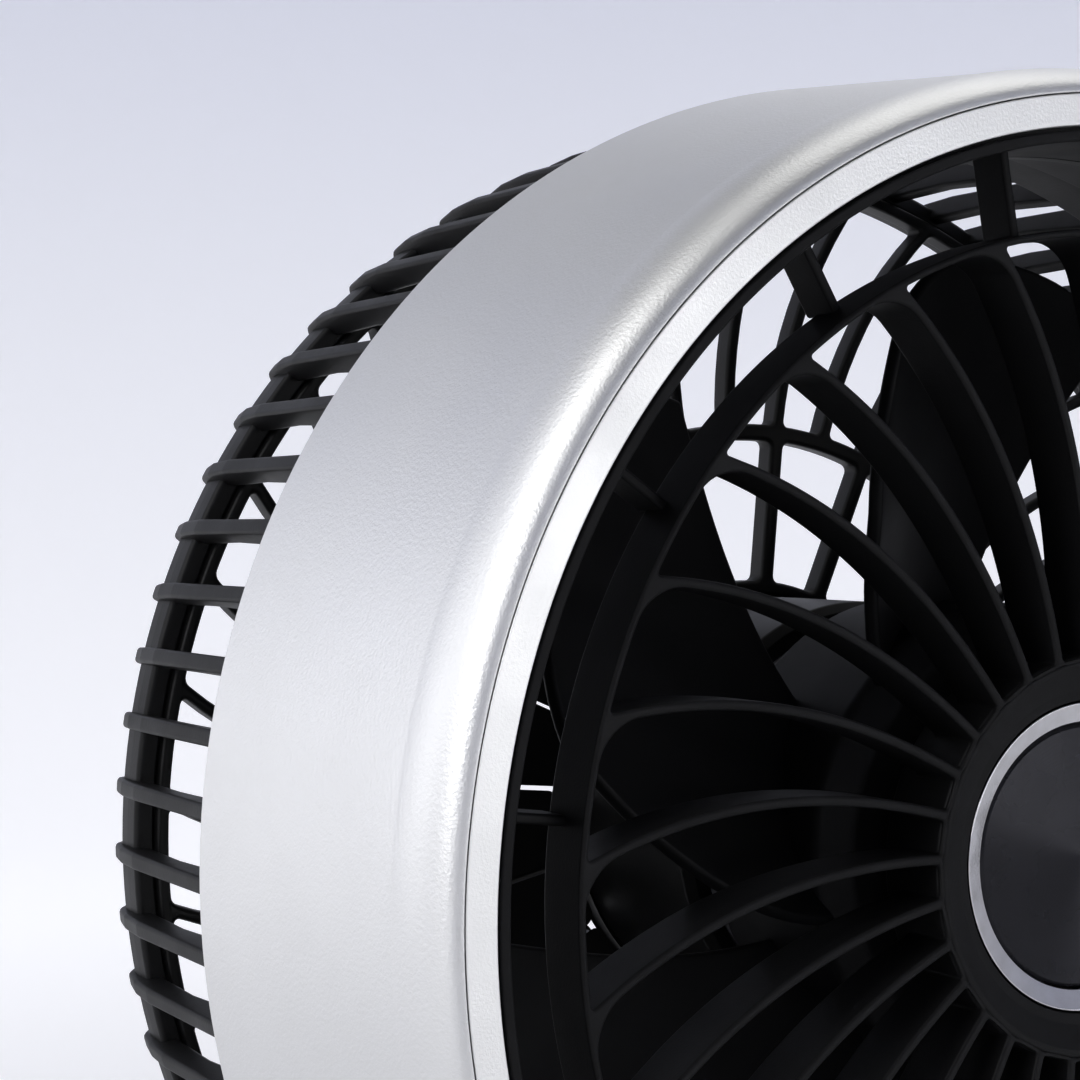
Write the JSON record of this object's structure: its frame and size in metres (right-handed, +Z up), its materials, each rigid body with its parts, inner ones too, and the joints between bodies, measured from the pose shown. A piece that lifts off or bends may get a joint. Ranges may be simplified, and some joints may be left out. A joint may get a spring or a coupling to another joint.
{
  "type": "desk fan",
  "caption": "Small round desk fan: metal drum head with a curved-spoke front grille, finned rear basket and bladed impeller, tilting on a short neck above a weighted disc base.",
  "frame": {"origin": "centre of the underside, on the surface that the fan stands on", "axes": "+Z up; the fan blows towards -Y and its axis lies along Y at rest; +X is to the right as seen from in front"},
  "size_m": [0.1308, 0.096, 0.163],
  "materials": {
    "blasted_aluminium": "fine bead-blasted and clear anodised",
    "bezel_aluminium": "bead-blasted and clear anodised, lighter",
    "grille_abs": "satin black, finely textured moulding",
    "polished_aluminium": "diamond-cut and polished",
    "spun_aluminium": "dark anodised, spun finish",
    "inner_abs": "plain black moulding",
    "impeller_abs": "satin black moulding",
    "zinc_steel": "zinc-plated",
    "ferrite": "sintered, dull",
    "bearing_steel": "ground and polished",
    "silicon_steel": "stacked laminations",
    "enamelled_copper": "enamelled copper wire",
    "cast_aluminium": "die-cast",
    "circuit_board": "solder mask over glass fibre",
    "acetal": "plain turned acetal",
    "stand_abs": "satin black, finely textured moulding",
    "black_steel": "black-plated screws",
    "weight_iron": "rough cast",
    "foot_rubber": "matt silicone",
    "button_aluminium": "turned and anodised"
  },
  "bodies": {
    "base": {"neck": "stand_abs", "neck_screws": "zinc_steel", "tilt_pin": "cast_aluminium", "pin_nut": "cast_aluminium", "friction_washers": "acetal", "base_shell": "blasted_aluminium", "base_weight": "weight_iron", "base_plate": "inner_abs", "plate_screws": "black_steel", "foot_ring": "foot_rubber", "control_board": "circuit_board", "usb_socket": "zinc_steel", "switch_board": "circuit_board", "button_switch": "inner_abs"},
    "head": {"drum_shell": "blasted_aluminium", "front_bezel": "bezel_aluminium", "front_grille": "grille_abs", "hub_trim_ring": "polished_aluminium", "hub_cap": "spun_aluminium", "grille_screws": "black_steel", "drum_liner": "inner_abs", "stator_core": "silicon_steel", "stator_coils": "enamelled_copper", "front_bearing": "bearing_steel", "rear_bearing": "bearing_steel", "motor_mount": "cast_aluminium", "motor_board": "circuit_board", "motor_screws": "zinc_steel", "motor_housing": "inner_abs", "motor_cover": "inner_abs", "rear_guard": "inner_abs", "rear_basket": "inner_abs", "basket_screws": "black_steel", "tilt_knuckle": "stand_abs", "knuckle_screws": "black_steel"},
    "rotor": {"impeller": "impeller_abs", "rotor_can": "zinc_steel", "magnet_ring": "ferrite", "motor_shaft": "bearing_steel", "shaft_clip": "zinc_steel"},
    "button": {"power_button": "button_aluminium"}
  },
  "joints": [
    {"name": "head_tilt", "type": "hinge", "parent": "base", "child": "head", "pos_m": [0, -0.011, 0.025], "axis": [1, 0, 0], "range_deg": [-20, 12]},
    {"name": "fan_spin", "type": "hinge", "parent": "head", "child": "rotor", "pos_m": [0, -0.01, 0.09765], "axis": [0, 1, 0], "continuous": true},
    {"name": "button_press", "type": "slide", "parent": "base", "child": "button", "axis": [0, 0, -1], "range_m": [0, 0.0008], "stiffness_N_per_m": 1500, "springref_m": -0.0004}
  ]
}
